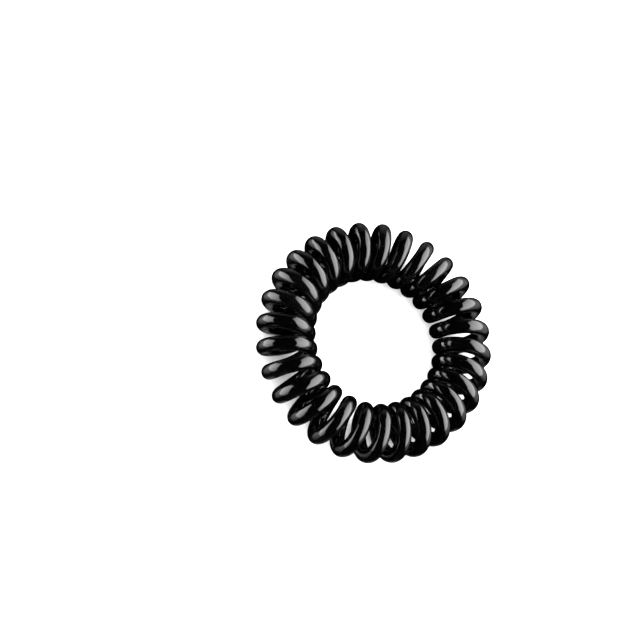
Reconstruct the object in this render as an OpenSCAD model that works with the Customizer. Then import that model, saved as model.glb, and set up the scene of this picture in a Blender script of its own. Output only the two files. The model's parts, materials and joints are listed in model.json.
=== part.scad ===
// Spiral hair tie: one round plastic cord, wound to a coil whose ends are joined to make a ring.
// The ring lies flat. Its axis is +Z, its centre is the origin and its lowest turns touch z = 0.

/* [Cord] */
// Thickness of the round cord
cord_d = 3.1; // [1.5:0.1:4.5]
// Clear gap between neighbouring turns where they are closest, at the inner side of the ring
turn_gap = 0.15; // [0.1:0.05:2]

/* [Coil] */
// Number of turns round the ring
turns = 28; // [16:1:32]
// Width of the coil across the ring's band, over the cord
coil_w = 12; // [9:0.5:18]
// Height of the coil above the surface that it rests on, over the cord
coil_h = 13.5; // [9:0.1:20]
// Lean of each turn along the ring, in degrees from upright
turn_lean = -1.9; // [-6:0.1:6]

/* [Roundness] */
// Straight steps in one turn of the cord
steps_per_turn = 20; // [12:4:20]
// Sides of the cord's section
cord_sides = 10; // [8:2:10]

/* [Hidden] */

cord_r = cord_d / 2;

// How far the middle of the cord travels in a turn to each side, out across the band and up
out_r = coil_w / 2 - cord_r;
up_r = coil_h / 2 - cord_r;

// Step from turn to turn along the ring's inner side. The cord slants as it passes there, so this is
// a little more than the cord and the gap measured square to it.
square_step = cord_d + turn_gap;
turn_step = square_step / sqrt(1 - pow(square_step / (2 * PI * up_r), 2));

// Radius of the ring at the middle of its band, and how much of it is made by the gaps alone
ring_r = turns * turn_step / (2 * PI) + out_r;
gap_r = turns * turn_gap / (2 * PI);

// A worn coil is a little uneven. Each row is one slow wave round the ring: how many times it comes
// round, how big it is as a share, and the angle in degrees where it is greatest.
TIMES = 0;
SHARE = 1;
AT = 2;

// Turns crowd together. The share is of turn_gap, and nowhere do the rows together take up a whole gap.
CROWDING = [
    // times, share, at
    [1, 0.14, 137],
    [2, 0.77, -4],
    [3, 0.42, -6],
    [4, 0.25, 43],
    [5, 0.34, 32],
];

// The band bulges. The share is of gap_r, the room that the gaps leave.
BULGING = [
    // times, share, at
    [2, 0.18, 134],
    [3, 0.13, 43],
    [4, 0.08, 30],
];

function sum(list) = list * [for (item = list) 1];
function unit(v) = v / norm(v);

// Directions at an angle round the ring: straight out from its axis, and along it
function outward(angle) = [cos(angle), sin(angle), 0];
function along(angle) = [-sin(angle), cos(angle), 0];

// Angle round the ring that the cord reaches after a number of turns
function ring_angle(turn) =
    let (even = 360 * turn / turns)
    even - sum([for (wave = CROWDING)
        wave[SHARE] * turn_gap / turn_step / wave[TIMES]
        * sin(wave[TIMES] * (even - wave[AT])) * 180 / PI]);

// Radius of the band's middle at an angle round the ring
function band_r(angle) =
    ring_r + gap_r * sum([for (wave = BULGING) wave[SHARE] * cos(wave[TIMES] * (angle - wave[AT]))]);

// Middle of the cord after a number of turns
function cord_middle(turn) =
    let (
        angle = ring_angle(turn),
        rise = up_r * sin(360 * turn)
    )
    outward(angle) * (band_r(angle) + out_r * cos(360 * turn))
    + along(angle) * rise * tan(turn_lean)
    + [0, 0, coil_h / 2 + rise];

// Points round the cord's section, square to the way that the cord runs, the first on the coil's outside
function cord_section(turn, step) =
    let (
        middle = cord_middle(turn),
        forward = unit(cord_middle(turn + step / 2) - cord_middle(turn - step / 2)),
        outside = unit(cross(along(ring_angle(turn)), forward)),
        beside = cross(forward, outside)
    )
    [for (corner = [0:cord_sides - 1])
        let (a = 360 * corner / cord_sides)
        middle + cord_r * (cos(a) * outside + sin(a) * beside)];

// The whole cord, from section to section and back to the first
module coil() {
    step = 1 / steps_per_turn;
    sections = turns * steps_per_turn;
    points = [for (i = [0:sections - 1]) each cord_section(i * step, step)];
    faces = [
        for (i = [0:sections - 1], corner = [0:cord_sides - 1])
            let (
                here = i * cord_sides,
                next = (i + 1) % sections * cord_sides,
                other = (corner + 1) % cord_sides
            )
            each [
                [here + corner, here + other, next + other],
                [here + corner, next + other, next + corner],
            ]
    ];
    color("#0d0d0f") polyhedron(points = points, faces = faces, convexity = 10);
}

coil();
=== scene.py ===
"""Spiral hair tie: a glossy black cord wound to a coil and closed to a ring, on a pale studio floor.

Lengths are in metres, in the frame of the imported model: the ring's axis is +Z, its centre is the
origin and its lowest turns touch z = 0.
"""

import json
import math

import bpy
import numpy as np
from mathutils import Matrix, Vector

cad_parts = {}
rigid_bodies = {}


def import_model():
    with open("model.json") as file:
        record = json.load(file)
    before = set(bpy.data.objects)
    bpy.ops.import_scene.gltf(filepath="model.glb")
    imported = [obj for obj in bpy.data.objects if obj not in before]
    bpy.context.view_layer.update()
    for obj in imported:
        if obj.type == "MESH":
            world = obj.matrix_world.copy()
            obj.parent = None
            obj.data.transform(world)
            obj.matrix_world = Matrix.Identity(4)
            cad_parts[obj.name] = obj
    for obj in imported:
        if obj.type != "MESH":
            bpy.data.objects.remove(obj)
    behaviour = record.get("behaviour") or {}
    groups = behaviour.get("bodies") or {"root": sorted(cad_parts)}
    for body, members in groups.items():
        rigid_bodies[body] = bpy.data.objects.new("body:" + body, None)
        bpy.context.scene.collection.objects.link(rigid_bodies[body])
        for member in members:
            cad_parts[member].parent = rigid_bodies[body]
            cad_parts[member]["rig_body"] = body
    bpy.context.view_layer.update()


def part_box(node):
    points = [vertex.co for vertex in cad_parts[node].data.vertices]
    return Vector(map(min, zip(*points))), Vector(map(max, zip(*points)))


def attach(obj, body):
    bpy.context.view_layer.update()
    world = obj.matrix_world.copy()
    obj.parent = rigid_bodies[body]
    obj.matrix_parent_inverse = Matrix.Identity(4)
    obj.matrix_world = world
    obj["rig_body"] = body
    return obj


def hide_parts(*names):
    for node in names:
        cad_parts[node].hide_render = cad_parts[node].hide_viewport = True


bl_info = {
    "name": "Spiral Hair Tie",
    "version": (1, 0, 0),
    "blender": (4, 5, 0),
    "location": "View3D > Sidebar > Hair Tie",
    "description": "Winds a glossy plastic cord to a coil closed to a ring, and lights it in a studio",
    "category": "Add Mesh",
}

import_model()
COIL_LOW, COIL_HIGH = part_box("coil")

MM = 0.001

# A worn coil is a little uneven. Each row is one slow wave round the ring: how many times it comes
# round, how big it is as a share, and the angle in degrees where it is greatest. These are the
# solid's own waves. Turns crowd together: the share is of the gap between turns.
CROWDING = (
    # times, share, at
    (1, 0.14, 137),
    (2, 0.77, -4),
    (3, 0.42, -6),
    (4, 0.25, 43),
    (5, 0.34, 32),
)
# The band bulges: the share is of the room that the gaps leave in the ring's radius.
BULGING = (
    # times, share, at
    (2, 0.18, 134),
    (3, 0.13, 43),
    (4, 0.08, 30),
)

# How finely the cord is drawn: points in one turn, and sides of its section
POINTS_PER_TURN = 80
CORD_SIDES = 32

# Where the cord's two ends were joined, under the coil, in turns from the first turn's outermost point
JOINT_TURN = 0.75

# The cord's map has one strip for each turn: how many columns of strips, and the margin round each
MAP_COLUMNS = 3
MAP_MARGIN = 0.006

# The paper floor and the wall round it. The floor lies a hair below the tie, the cards just above it.
FLOOR_RADIUS = 1.5
WALL_HEIGHT = 1.5
FLOOR_BELOW = 0.05 * MM
CARDS_BELOW = 0.02 * MM
ROUND_SIDES = 96

# Black cards on the floor, which show in the plastic's gloss alone: painted shade in place of the
# shaded floor inside and under the ring. Each row is how far right of the ring's middle and above it
# in the picture the card lies, and its radius, in millimetres.
SHADE_CARDS = (
    # name, right, above, radius
    ("right_shade_card", 8, 4, 12.5),
    ("upper_shade_card", -1, 18.5, 11),
)

# The lights: how far the softboxes are from the tie, and the height and width of the light above
SOFTBOX_DISTANCE = 0.6
TOP_LIGHT_HEIGHT = 0.9
TOP_LIGHT_WIDTH = 1.8

# A softbox's glow reaches its whole width to each side, and this share of its height
GLOW_REACH = (1, 0.75, 1)
# Half the width of the soft edge that a flag casts on a softbox, as a share of its size
FLAG_EDGE = 0.015

# Two dim glows in the dark room behind the tie, one high in the picture and one low. Each row is how
# far it is turned upward from the way to the camera and how far it reaches, in degrees, and how
# bright it is. Beyond its reach a glow leaves only a trace.
ROOM_GLOWS = (
    # turned, reach, brightness
    (116, 36, 0.3),
    (-144, 20, 0.4),
)
GLOW_TRACE = 0.002

# The camera's sensor in millimetres, and the nearest thing that it sees in metres
SENSOR_WIDTH = 36
NEAREST_SEEN = 0.01

# The places of the sockets that a Mix node mixes colours with. Other sockets share their names.
MIX_FACTOR, MIX_FIRST, MIX_SECOND, MIX_RESULT = 0, 6, 7, 2


class CoilSizes(bpy.types.PropertyGroup):
    """Sizes of the cord and of the coil that it is wound to."""

    cord_thickness: bpy.props.FloatProperty(
        name="Cord Thickness",
        description="Thickness of the round cord",
        default=3.1 * MM, min=1.5 * MM, max=4.5 * MM, unit="LENGTH",
    )
    turn_gap: bpy.props.FloatProperty(
        name="Turn Gap",
        description="Clear gap between neighbouring turns at the inner side of the ring",
        default=0.15 * MM, min=0.1 * MM, max=2 * MM, unit="LENGTH",
    )
    turns: bpy.props.IntProperty(
        name="Turns",
        description="Number of turns round the ring",
        default=28, min=16, max=32,
    )
    coil_width: bpy.props.FloatProperty(
        name="Coil Width",
        description="Width of the coil across the ring's band, over the cord",
        default=12 * MM, min=9 * MM, max=18 * MM, unit="LENGTH",
    )
    coil_height: bpy.props.FloatProperty(
        name="Coil Height",
        description="Height of the coil above the floor, over the cord",
        default=COIL_HIGH.z - COIL_LOW.z, min=9 * MM, max=20 * MM, unit="LENGTH",
    )
    turn_lean: bpy.props.FloatProperty(
        name="Turn Lean",
        description="Lean of each turn along the ring, from upright",
        default=math.radians(-1.9), min=math.radians(-6), max=math.radians(6), subtype="ANGLE",
    )


def linear(hex_colour):
    """An sRGB colour such as #0a0a0b as the linear numbers that a shader takes."""
    shares = [int(hex_colour[i:i + 2], 16) / 255 for i in (1, 3, 5)]
    return tuple(s / 12.92 if s <= 0.04045 else ((s + 0.055) / 1.055) ** 2.4 for s in shares)


class CordFinish(bpy.types.PropertyGroup):
    """Colours and gloss of the cord."""

    deep_black: bpy.props.FloatVectorProperty(
        name="Deep Black",
        description="Colour of the plastic where its surface is clean",
        default=linear("#020202"), size=3, subtype="COLOR", min=0, max=1,
    )
    handled_black: bpy.props.FloatVectorProperty(
        name="Handled Black",
        description="Colour of the plastic where hands and hair have left a faint film",
        default=linear("#060607"), size=3, subtype="COLOR", min=0, max=1,
    )
    roughness: bpy.props.FloatProperty(
        name="Roughness",
        description="Roughness of the plastic where its surface is clean",
        default=0.04, min=0.02, max=0.6, subtype="FACTOR",
    )


class StudioSettings(bpy.types.PropertyGroup):
    """The floor, the lights and the camera's place."""

    floor_colour: bpy.props.FloatVectorProperty(
        name="Floor Colour",
        description="Colour of the paper floor",
        default=linear("#f2f2f0"), size=3, subtype="COLOR", min=0, max=1,
    )
    right_light: bpy.props.FloatProperty(
        name="Right Light",
        description="Power of the large softbox on the right of the picture",
        default=111, min=0, max=200, unit="POWER",
    )
    left_light: bpy.props.FloatProperty(
        name="Left Light",
        description="Power of the smaller softbox on the left of the picture",
        default=17.2, min=0, max=100, unit="POWER",
    )
    top_light: bpy.props.FloatProperty(
        name="Top Light",
        description="Power of the light above, which only fills the floor's shadows",
        default=64, min=0, max=100, unit="POWER",
    )
    view_turn: bpy.props.FloatProperty(
        name="View Turn",
        description="Angle round the ring's axis that the camera looks from, from the -Y side",
        default=math.radians(-1.25), subtype="ANGLE",
    )
    view_height: bpy.props.FloatProperty(
        name="View Height",
        description="Angle above the floor that the camera looks from",
        default=math.radians(66.37), min=0, max=math.radians(90), subtype="ANGLE",
    )
    view_roll: bpy.props.FloatProperty(
        name="View Roll",
        description="Turn of the camera about its own line of sight",
        default=math.radians(46.73), subtype="ANGLE",
    )
    view_distance: bpy.props.FloatProperty(
        name="View Distance",
        description="Distance from the camera to the middle of the ring, along the line of sight",
        default=289.4 * MM, min=100 * MM, unit="LENGTH",
    )
    view_offset: bpy.props.FloatVectorProperty(
        name="View Offset",
        description="How far right of and above the picture's middle the middle of the ring shows",
        default=(11.13 * MM, -4.335 * MM), size=2, unit="LENGTH",
    )
    lens: bpy.props.FloatProperty(
        name="Lens",
        description="Focal length of the camera",
        default=80, min=20, max=300, unit="CAMERA",
    )


def add_node(tree, kind, settings=None, links=None):
    """A new node. Settings are its properties or its sockets' values, and links feed its sockets."""
    new = tree.nodes.new(kind)
    for name, value in (settings or {}).items():
        if isinstance(name, str) and hasattr(new, name):
            setattr(new, name, value)
        else:
            new.inputs[name].default_value = value
    for name, output in (links or {}).items():
        tree.links.new(output, new.inputs[name])
    return new


def empty_tree(owner):
    """The node tree of a material, a light or the world, with nothing in it."""
    owner.use_nodes = True
    owner.node_tree.nodes.clear()
    return owner.node_tree


def heat_set_tpu(finish):
    """Thermoplastic polyurethane (TPU), extruded to a cord and set to a coil by heat.

    The eye sees a near-black, wet-looking gloss. The die left fine lines along the cord, which break
    up the highlights lengthwise, and the heat left the surface softly wavy, which bends their edges.
    """
    material = bpy.data.materials.new("heat_set_black_tpu")
    tree = empty_tree(material)

    # Place on the cord as if it were straight: x and y across it, z along it
    place = add_node(
        tree, "ShaderNodeAttribute", {"attribute_name": "straight_cord"}
    ).outputs["Vector"]

    # Soft waves twice as long as they are wide, with smaller ones on them. The noise uses less than
    # half of the depth that it is given.
    wave_width, wave_depth = 2 * MM, 0.2 * MM
    drawn_out = add_node(
        tree, "ShaderNodeMapping", {"Scale": (1, 1, 0.5)}, {"Vector": place}
    ).outputs["Vector"]
    waves = add_node(
        tree, "ShaderNodeTexNoise", {"Scale": 1 / wave_width, "Detail": 2, "Roughness": 0.45},
        {"Vector": drawn_out},
    ).outputs["Fac"]
    waved = add_node(
        tree, "ShaderNodeBump", {"Distance": wave_depth, "Strength": 1}, {"Height": waves}
    ).outputs["Normal"]

    # Die lines, a hundred times as long as their spacing. Real ones are finer, and would not show.
    line_spacing, line_depth = 0.2 * MM, 0.0025 * MM
    lengthwise = add_node(
        tree, "ShaderNodeMapping", {"Scale": (1, 1, 0.01)}, {"Vector": place}
    ).outputs["Vector"]
    lines = add_node(
        tree, "ShaderNodeTexNoise", {"Scale": 1 / line_spacing, "Detail": 2, "Roughness": 0.6},
        {"Vector": lengthwise},
    ).outputs["Fac"]
    lined = add_node(
        tree, "ShaderNodeBump", {"Distance": line_depth, "Strength": 1},
        {"Height": lines, "Normal": waved},
    ).outputs["Normal"]

    # A faint film from hands and hair, in patches twice as long as they are wide
    patch_width = 4 * MM
    clean_up_to, filmed_from = 0.45, 0.7
    patches = add_node(
        tree, "ShaderNodeTexNoise", {"Scale": 1 / patch_width, "Detail": 5, "Roughness": 0.65},
        {"Vector": drawn_out},
    ).outputs["Fac"]
    film = add_node(
        tree, "ShaderNodeMapRange",
        {"interpolation_type": "SMOOTHSTEP", "From Min": clean_up_to, "From Max": filmed_from},
        {"Value": patches},
    ).outputs["Result"]
    blacks = {MIX_FIRST: (*finish.deep_black, 1), MIX_SECOND: (*finish.handled_black, 1)}
    colour = add_node(
        tree, "ShaderNodeMix", {"data_type": "RGBA", **blacks}, {MIX_FACTOR: film}
    ).outputs[MIX_RESULT]

    # The film and the die lines each take a little off the gloss. The lines' noise is taken from
    # where it is low to where it is high.
    film_dulls, lines_dull = 0.06, 0.05
    low, high = 0.35, 0.75
    dulled = add_node(
        tree, "ShaderNodeMapRange",
        {"To Min": finish.roughness, "To Max": finish.roughness + film_dulls}, {"Value": film},
    ).outputs["Result"]
    streaked = add_node(
        tree, "ShaderNodeMapRange",
        {"From Min": low, "From Max": high, "To Min": 0, "To Max": lines_dull}, {"Value": lines},
    ).outputs["Result"]
    gloss = add_node(
        tree, "ShaderNodeMath", {"operation": "ADD"}, {0: dulled, 1: streaked}
    ).outputs["Value"]

    surface = add_node(
        tree, "ShaderNodeBsdfPrincipled", {"IOR": 1.5, "Metallic": 0},
        {"Base Color": colour, "Roughness": gloss, "Normal": lined},
    )
    add_node(tree, "ShaderNodeOutputMaterial", {}, {"Surface": surface.outputs["BSDF"]})
    return material


def coated_paper(colour):
    """Seamless background paper, coated and pressed smooth.

    The eye sees it matt, with a grain that only a raking light would show.
    """
    material = bpy.data.materials.new("seamless_paper")
    tree = empty_tree(material)
    fibre_length, grain_depth = 1.5 * MM, 0.01 * MM
    place = add_node(tree, "ShaderNodeTexCoord").outputs["Object"]
    fibres = add_node(
        tree, "ShaderNodeTexNoise", {"Scale": 1 / fibre_length, "Detail": 3}, {"Vector": place}
    ).outputs["Fac"]
    grain = add_node(
        tree, "ShaderNodeBump", {"Distance": grain_depth, "Strength": 1}, {"Height": fibres}
    ).outputs["Normal"]
    surface = add_node(
        tree, "ShaderNodeBsdfPrincipled",
        {"Base Color": (*colour, 1), "Roughness": 0.9, "IOR": 1.4}, {"Normal": grain},
    )
    add_node(tree, "ShaderNodeOutputMaterial", {}, {"Surface": surface.outputs["BSDF"]})
    return material


def ring_place(angle):
    """Directions at an angle round the ring: straight out from its axis, and along it."""
    out = Vector((math.cos(angle), math.sin(angle), 0))
    along = Vector((-math.sin(angle), math.cos(angle), 0))
    return out, along


def cord_route(sizes):
    """A function that gives, after some turns, the cord's middle and the ring's direction there."""
    cord_radius = sizes.cord_thickness / 2
    half_out = sizes.coil_width / 2 - cord_radius
    half_up = sizes.coil_height / 2 - cord_radius

    # Step from turn to turn along the ring's inner side, where the cord slants as it passes
    square_step = sizes.cord_thickness + sizes.turn_gap
    turn_step = square_step / math.sqrt(1 - (square_step / (2 * math.pi * half_up)) ** 2)
    ring_radius = sizes.turns * turn_step / (2 * math.pi) + half_out
    gap_radius = sizes.turns * sizes.turn_gap / (2 * math.pi)

    def middle(turn):
        even = 2 * math.pi * turn / sizes.turns
        angle = even - sum(
            share * sizes.turn_gap / turn_step / times * math.sin(times * (even - math.radians(at)))
            for times, share, at in CROWDING
        )
        band = ring_radius + gap_radius * sum(
            share * math.cos(times * (angle - math.radians(at))) for times, share, at in BULGING
        )
        out, along = ring_place(angle)
        rise = half_up * math.sin(2 * math.pi * turn)
        place = (
            out * (band + half_out * math.cos(2 * math.pi * turn))
            + along * rise * math.tan(sizes.turn_lean)
            + Vector((0, 0, sizes.coil_height / 2 + rise))
        )
        return place, along

    return middle


class HAIRTIE_OT_coil(bpy.types.Operator):
    """Wind the cord to a coil, close it to a ring and give it its finish"""

    bl_idname = "hair_tie.coil"
    bl_label = "Wind Coil"

    def execute(self, context):
        sizes = context.scene.hair_tie_sizes
        middle = cord_route(sizes)
        count = sizes.turns * POINTS_PER_TURN
        # The first point is where the cord's ends were joined
        route = [middle(JOINT_TURN + i / POINTS_PER_TURN) for i in range(count)]

        # A closed curve with as many points as the route, each then put in its place
        bpy.ops.object.select_all(action="DESELECT")
        bpy.ops.curve.primitive_nurbs_circle_add(radius=COIL_HIGH.x)
        coil = context.object
        coil.name = coil.data.name = "wound_cord"
        bpy.ops.object.mode_set(mode="EDIT")
        bpy.ops.curve.spline_type_set(type="POLY")
        bpy.ops.curve.subdivide(number_cuts=count // len(coil.data.splines[0].points) - 1)
        bpy.ops.object.mode_set(mode="OBJECT")
        points = coil.data.splines[0].points
        if len(points) != count:
            raise RuntimeError(f"the cord's curve has {len(points)} points, and its route {count}")
        for point, (place, _) in zip(points, route):
            point.co = (*place, 1)

        # The round cord along the curve. A bevel has four sides more than twice its resolution.
        coil.data.dimensions = "3D"
        coil.data.bevel_depth = sizes.cord_thickness / 2
        coil.data.bevel_resolution = CORD_SIDES // 2 - 2
        bpy.ops.object.convert(target="MESH")
        bpy.ops.object.shade_smooth()

        lay_out_straight(coil.data, route)
        coil.data.materials.clear()
        coil.data.materials.append(heat_set_tpu(context.scene.hair_tie_finish))
        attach(coil, "root")
        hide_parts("coil")
        return {"FINISHED"}


def lay_out_straight(mesh, route):
    """Gives the wound cord's faces their place on the straight cord, and a map of one strip a turn."""
    rings = len(route)
    corner_vertex = np.empty(len(mesh.loops), int)
    mesh.loops.foreach_get("vertex_index", corner_vertex)
    vertices = np.empty(len(mesh.vertices) * 3)
    mesh.vertices.foreach_get("co", vertices)
    vertices = vertices.reshape(rings, CORD_SIDES, 3)
    middles = np.array([place for place, _ in route])
    alongs = np.array([along for _, along in route])

    # The cord runs forward. Its section is measured from the coil's outside, as the solid's is.
    forward = np.roll(middles, -1, 0) - np.roll(middles, 1, 0)
    forward /= np.linalg.norm(forward, axis=1, keepdims=True)
    outside = np.cross(alongs, forward)
    outside /= np.linalg.norm(outside, axis=1, keepdims=True)
    beside = np.cross(forward, outside)
    from_middle = vertices - middles[:, None]
    across = np.stack(
        [np.einsum("rsk,rk->rs", from_middle, direction) for direction in (outside, beside)], -1
    )

    # Length of cord up to each ring, with the whole length at the end
    steps = np.linalg.norm(np.roll(middles, -1, 0) - middles, axis=1)
    length = np.concatenate([[0], np.cumsum(steps)])

    # Each four-sided face lies between a ring and the next. Its corners on the first ring, where it
    # closes the cord, are at the whole length and not at zero.
    ring, side = np.divmod(corner_vertex.reshape(-1, 4), CORD_SIDES)
    closing = (ring.max(1) == rings - 1) & (ring.min(1) == 0)
    ring_on = np.where(closing[:, None] & (ring == 0), rings, ring)
    wrapping = (side.max(1) == CORD_SIDES - 1) & (side.min(1) == 0)
    side_on = np.where(wrapping[:, None] & (side == 0), CORD_SIDES, side)

    straight = mesh.attributes.new("straight_cord", "FLOAT_VECTOR", "CORNER")
    xyz = np.concatenate([across[ring, side], length[ring_on][..., None]], -1)
    straight.data.foreach_set("vector", xyz.astype(np.float32).ravel())

    # The map's strips stand in columns and rows. A strip's long side runs along the cord.
    map_rows = math.ceil(rings / POINTS_PER_TURN / MAP_COLUMNS)
    turn = ring_on.min(1) // POINTS_PER_TURN
    column, row = np.divmod(turn, map_rows)
    along_turn = (ring_on - turn[:, None] * POINTS_PER_TURN) / POINTS_PER_TURN
    round_cord = side_on / CORD_SIDES

    def on_map(share, strip, strips):
        """A share of a strip, as a place on the map inside the strip's margin."""
        margin = MAP_MARGIN * strips
        return (strip[:, None] + margin / 2 + share * (1 - margin)) / strips

    uv = np.stack([on_map(along_turn, column, MAP_COLUMNS), on_map(round_cord, row, map_rows)], -1)
    while mesh.uv_layers:
        mesh.uv_layers.remove(mesh.uv_layers[0])
    mesh.uv_layers.new(name="OFBake").data.foreach_set("uv", uv.astype(np.float32).ravel())


def picture_directions(studio):
    """Right and up in the picture, and back from the tie to the camera, in the frame."""
    turn, height, roll = studio.view_turn, studio.view_height, studio.view_roll
    level = Vector((math.cos(turn), math.sin(turn), 0))
    back = Vector((
        math.sin(turn) * math.cos(height), -math.cos(turn) * math.cos(height), math.sin(height)
    ))
    upright = back.cross(level)
    right = level * math.cos(roll) + upright * math.sin(roll)
    return right, back.cross(right), back


def light_only(light, objects):
    """Keeps a light to some objects."""
    lit = bpy.data.collections.new(light.name + "_on")
    for thing in objects:
        lit.objects.link(thing)
    light.light_linking.receiver_collection = lit


def put(thing, right, up, back, place):
    """Puts a camera or a light at a place, turned so that it looks away from the back direction."""
    turned = Matrix((right, up, back)).transposed().to_4x4()
    turned.translation = place
    thing.matrix_world = turned


class HAIRTIE_OT_studio(bpy.types.Operator):
    """Add the pale floor, the soft lights and the camera"""

    bl_idname = "hair_tie.studio"
    bl_label = "Add Studio"

    def execute(self, context):
        studio = context.scene.hair_tie_studio
        picture = picture_directions(studio)
        centre = Vector((0, 0, context.scene.hair_tie_sizes.coil_height / 2))
        floor = self.add_floor(context, studio.floor_colour)
        self.add_shade_cards(context, picture)

        # A large softbox on the right of the picture and a smaller one on its left
        tie = [thing for thing in context.scene.objects if thing.get("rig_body")]
        right_softbox = self.add_softbox(
            context, "right_softbox", studio.right_light, centre, picture,
            turned=88.8, raised=2.75, size=(1.77, 2.19),
            brightest=(-0.02, -0.05), dimmest=0.25, flag=(0.038, 0.37), spill=(0.2, 0.37),
        )
        light_only(right_softbox, tie)
        left_softbox = self.add_softbox(
            context, "left_softbox", studio.left_light, centre, picture,
            turned=-98.7, raised=3.9, size=(0.94, 0.89),
            brightest=(0, 0.1), dimmest=0.25, flag=(0.086, 0.475), spill=(0.25, 0.5),
        )
        light_only(left_softbox, tie)

        # A broad light above whitens the floor. It stays out of the plastic's gloss.
        bpy.ops.object.light_add(type="AREA", location=(0, 0, TOP_LIGHT_HEIGHT))
        above = context.object
        above.name = above.data.name = "top_fill"
        above.data.size = TOP_LIGHT_WIDTH
        above.data.energy = studio.top_light
        above.visible_glossy = False
        above.visible_camera = False
        light_only(above, [floor])

        self.darken_room(context, picture)
        self.add_camera(context, studio, centre, picture)
        context.scene.view_settings.view_transform = "Standard"
        return {"FINISHED"}

    def add_floor(self, context, colour):
        """A round paper floor with a paper wall, so that every view has paper behind the tie."""
        bpy.ops.object.select_all(action="DESELECT")
        bpy.ops.mesh.primitive_circle_add(
            vertices=ROUND_SIDES, radius=FLOOR_RADIUS, fill_type="NGON", location=(0, 0, -FLOOR_BELOW)
        )
        floor = context.object
        floor.name = floor.data.name = "paper_floor"
        bpy.ops.object.mode_set(mode="EDIT")
        bpy.ops.mesh.select_all(action="SELECT")
        bpy.ops.mesh.extrude_region_move(TRANSFORM_OT_translate={"value": (0, 0, WALL_HEIGHT)})
        bpy.ops.mesh.delete(type="ONLY_FACE")
        bpy.ops.object.mode_set(mode="OBJECT")
        bpy.ops.object.transform_apply(location=True)
        floor.data.materials.append(coated_paper(colour))
        # The plastic's gloss shows the lights and the dark room, and not the paper, so that its
        # edges stay dark
        floor.visible_glossy = False
        floor.visible_shadow = False
        return floor

    def add_shade_cards(self, context, picture):
        """Black cards on the floor, which show in the plastic's gloss alone: painted shade in place of
        the shaded floor inside and under the ring.

        In the photograph the turns' inner ends get no light from below.
        """
        right, _, _ = picture
        aside = Vector((right.x, right.y, 0)).normalized()
        upward = Vector((-aside.y, aside.x, 0))
        # Painted shade: near-black paper, seen only in the gloss, standing in for the shaded floor
        black = coated_paper(linear("#0c0c0c"))
        for name, across, along, radius in SHADE_CARDS:
            place = (aside * across + upward * along) * MM - Vector((0, 0, CARDS_BELOW))
            bpy.ops.object.select_all(action="DESELECT")
            bpy.ops.mesh.primitive_circle_add(
                vertices=ROUND_SIDES, radius=radius * MM, fill_type="NGON", location=place
            )
            card = context.object
            card.name = card.data.name = name
            bpy.ops.object.transform_apply(location=True)
            card.data.materials.append(black)
            card.visible_camera = False
            card.visible_diffuse = False
            card.visible_shadow = False

    def add_softbox(
        self, context, name, power, centre, picture,
        turned, raised, size, brightest, dimmest, flag, spill,
    ):
        """A soft light that faces the tie, turned to the right of the camera and raised above it.

        Places on it are measured from its middle, in shares of its size: brightest is one, and
        dimmest is how bright its corners are against that. A flag hides the side that is farther
        from the camera, past a line: flag is how far out the line is at the middle, and how much
        farther out at the top than at the bottom. Past the line a little light spills over: spill
        is how bright it starts, and how far it reaches.
        """
        right, up, back = picture
        outward = math.copysign(1, turned)
        turned, raised = math.radians(turned), math.radians(raised)
        level = back * math.cos(turned) + right * math.sin(turned)
        towards = level * math.cos(raised) + up * math.sin(raised)
        upright = up * math.cos(raised) - level * math.sin(raised)
        bpy.ops.object.light_add(type="AREA")
        light = context.object
        light.name = light.data.name = name
        light.data.shape = "RECTANGLE"
        light.data.size, light.data.size_y = size
        light.data.energy = power
        light.visible_camera = False
        put(light, upright.cross(towards), upright, towards, centre + towards * SOFTBOX_DISTANCE)

        # Its cloth is brightest near the lamp and falls off to the edges
        tree = empty_tree(light.data)
        corner = add_node(tree, "ShaderNodeNewGeometry").outputs["Parametric"]
        place = add_node(
            tree, "ShaderNodeVectorMath", {"operation": "SUBTRACT", 1: (0.5, 0.5, 0)}, {0: corner}
        ).outputs["Vector"]
        spread = add_node(
            tree, "ShaderNodeMapping",
            {"vector_type": "TEXTURE", "Location": (*brightest, 0), "Scale": GLOW_REACH},
            {"Vector": place},
        ).outputs["Vector"]
        glow = add_node(
            tree, "ShaderNodeTexGradient", {"gradient_type": "SPHERICAL"}, {"Vector": spread}
        ).outputs["Fac"]
        open_glow = add_node(
            tree, "ShaderNodeMapRange", {"interpolation_type": "SMOOTHSTEP", "To Min": dimmest},
            {"Value": glow},
        ).outputs["Result"]

        # The flag lets all the light by on its near side, and the spill past its line
        line, slope = flag
        strength, reach = spill
        out = add_node(
            tree, "ShaderNodeVectorMath", {"operation": "DOT_PRODUCT", 1: (outward, -slope, 0)},
            {0: place},
        ).outputs["Value"]
        spilled = add_node(
            tree, "ShaderNodeMapRange",
            {"From Min": line, "From Max": line + reach, "To Min": strength, "To Max": 0},
            {"Value": out},
        ).outputs["Result"]
        let_by = add_node(
            tree, "ShaderNodeMapRange",
            {"From Min": line - FLAG_EDGE, "From Max": line + FLAG_EDGE, "To Min": 1},
            {"Value": out, "To Max": spilled},
        ).outputs["Result"]
        shown = add_node(
            tree, "ShaderNodeMath", {"operation": "MULTIPLY"}, {0: open_glow, 1: let_by}
        ).outputs["Value"]
        lamp = add_node(tree, "ShaderNodeEmission", {}, {"Strength": shown})
        add_node(tree, "ShaderNodeOutputLight", {}, {"Surface": lamp.outputs["Emission"]})
        return light

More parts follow.
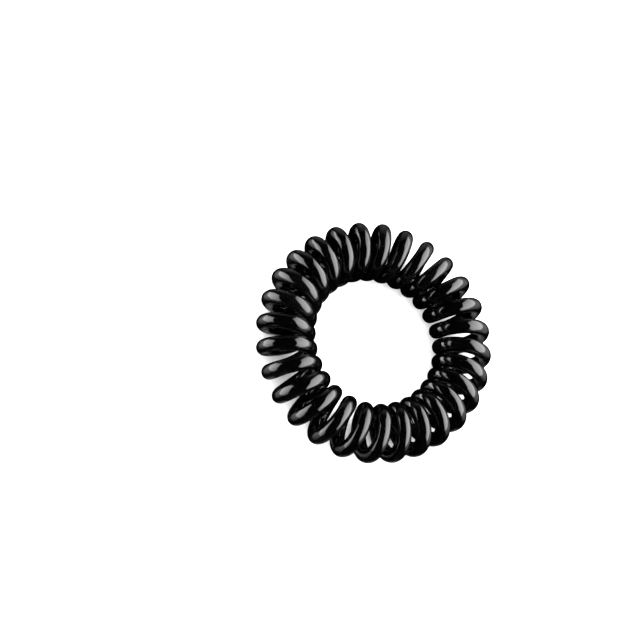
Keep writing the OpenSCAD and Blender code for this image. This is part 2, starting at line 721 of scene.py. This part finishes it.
    def darken_room(self, context, picture):
        """A dark room round the studio, with two dim glows."""
        _, up, back = picture
        world = context.scene.world or bpy.data.worlds.new("studio")
        context.scene.world = world
        tree = empty_tree(world)
        direction = add_node(tree, "ShaderNodeTexCoord").outputs["Generated"]
        glows = []
        for turned, reach, brightness in ROOM_GLOWS:
            middle = back * math.cos(math.radians(turned)) + up * math.sin(math.radians(turned))
            edge = math.cos(math.radians(reach))
            near = add_node(
                tree, "ShaderNodeVectorMath", {"operation": "DOT_PRODUCT", 1: middle}, {0: direction}
            ).outputs["Value"]
            glows.append(add_node(
                tree, "ShaderNodeMapRange",
                {"From Min": edge, "To Min": GLOW_TRACE, "To Max": brightness}, {"Value": near},
            ).outputs["Result"])
        strength = add_node(
            tree, "ShaderNodeMath", {"operation": "ADD"}, {0: glows[0], 1: glows[1]}
        ).outputs["Value"]
        room = add_node(
            tree, "ShaderNodeBackground", {"Color": (1, 1, 1, 1)}, {"Strength": strength}
        )
        add_node(tree, "ShaderNodeOutputWorld", {}, {"Surface": room.outputs["Background"]})

    def add_camera(self, context, studio, centre, picture):
        """The camera at the photograph's viewing angle."""
        right, up, back = picture
        bpy.ops.object.camera_add()
        camera = context.object
        camera.name = camera.data.name = "camera"
        camera.data.lens = studio.lens
        camera.data.sensor_width = SENSOR_WIDTH
        camera.data.clip_start = NEAREST_SEEN
        offset_right, offset_up = studio.view_offset
        place = centre + back * studio.view_distance - right * offset_right - up * offset_up
        put(camera, right, up, back, place)
        context.scene.camera = camera


class HAIRTIE_PT_sidebar(bpy.types.Panel):
    """Sizes, colours and buttons for the hair tie"""

    bl_label = "Spiral Hair Tie"
    bl_idname = "HAIRTIE_PT_sidebar"
    bl_space_type = "VIEW_3D"
    bl_region_type = "UI"
    bl_category = "Hair Tie"

    def draw(self, context):
        scene = context.scene
        for group, operator in (
            (scene.hair_tie_sizes, None),
            (scene.hair_tie_finish, HAIRTIE_OT_coil),
            (scene.hair_tie_studio, HAIRTIE_OT_studio),
        ):
            box = self.layout.box()
            for name in group.__annotations__:
                box.prop(group, name)
            if operator:
                box.operator(operator.bl_idname)


CLASSES = (
    CoilSizes,
    CordFinish,
    StudioSettings,
    HAIRTIE_OT_coil,
    HAIRTIE_OT_studio,
    HAIRTIE_PT_sidebar,
)


def register():
    for cls in CLASSES:
        bpy.utils.register_class(cls)
    bpy.types.Scene.hair_tie_sizes = bpy.props.PointerProperty(type=CoilSizes)
    bpy.types.Scene.hair_tie_finish = bpy.props.PointerProperty(type=CordFinish)
    bpy.types.Scene.hair_tie_studio = bpy.props.PointerProperty(type=StudioSettings)


def unregister():
    del bpy.types.Scene.hair_tie_studio
    del bpy.types.Scene.hair_tie_finish
    del bpy.types.Scene.hair_tie_sizes
    for cls in reversed(CLASSES):
        bpy.utils.unregister_class(cls)


def main():
    register()
    bpy.ops.hair_tie.coil()
    bpy.ops.hair_tie.studio()


if __name__ == "__main__":
    main()
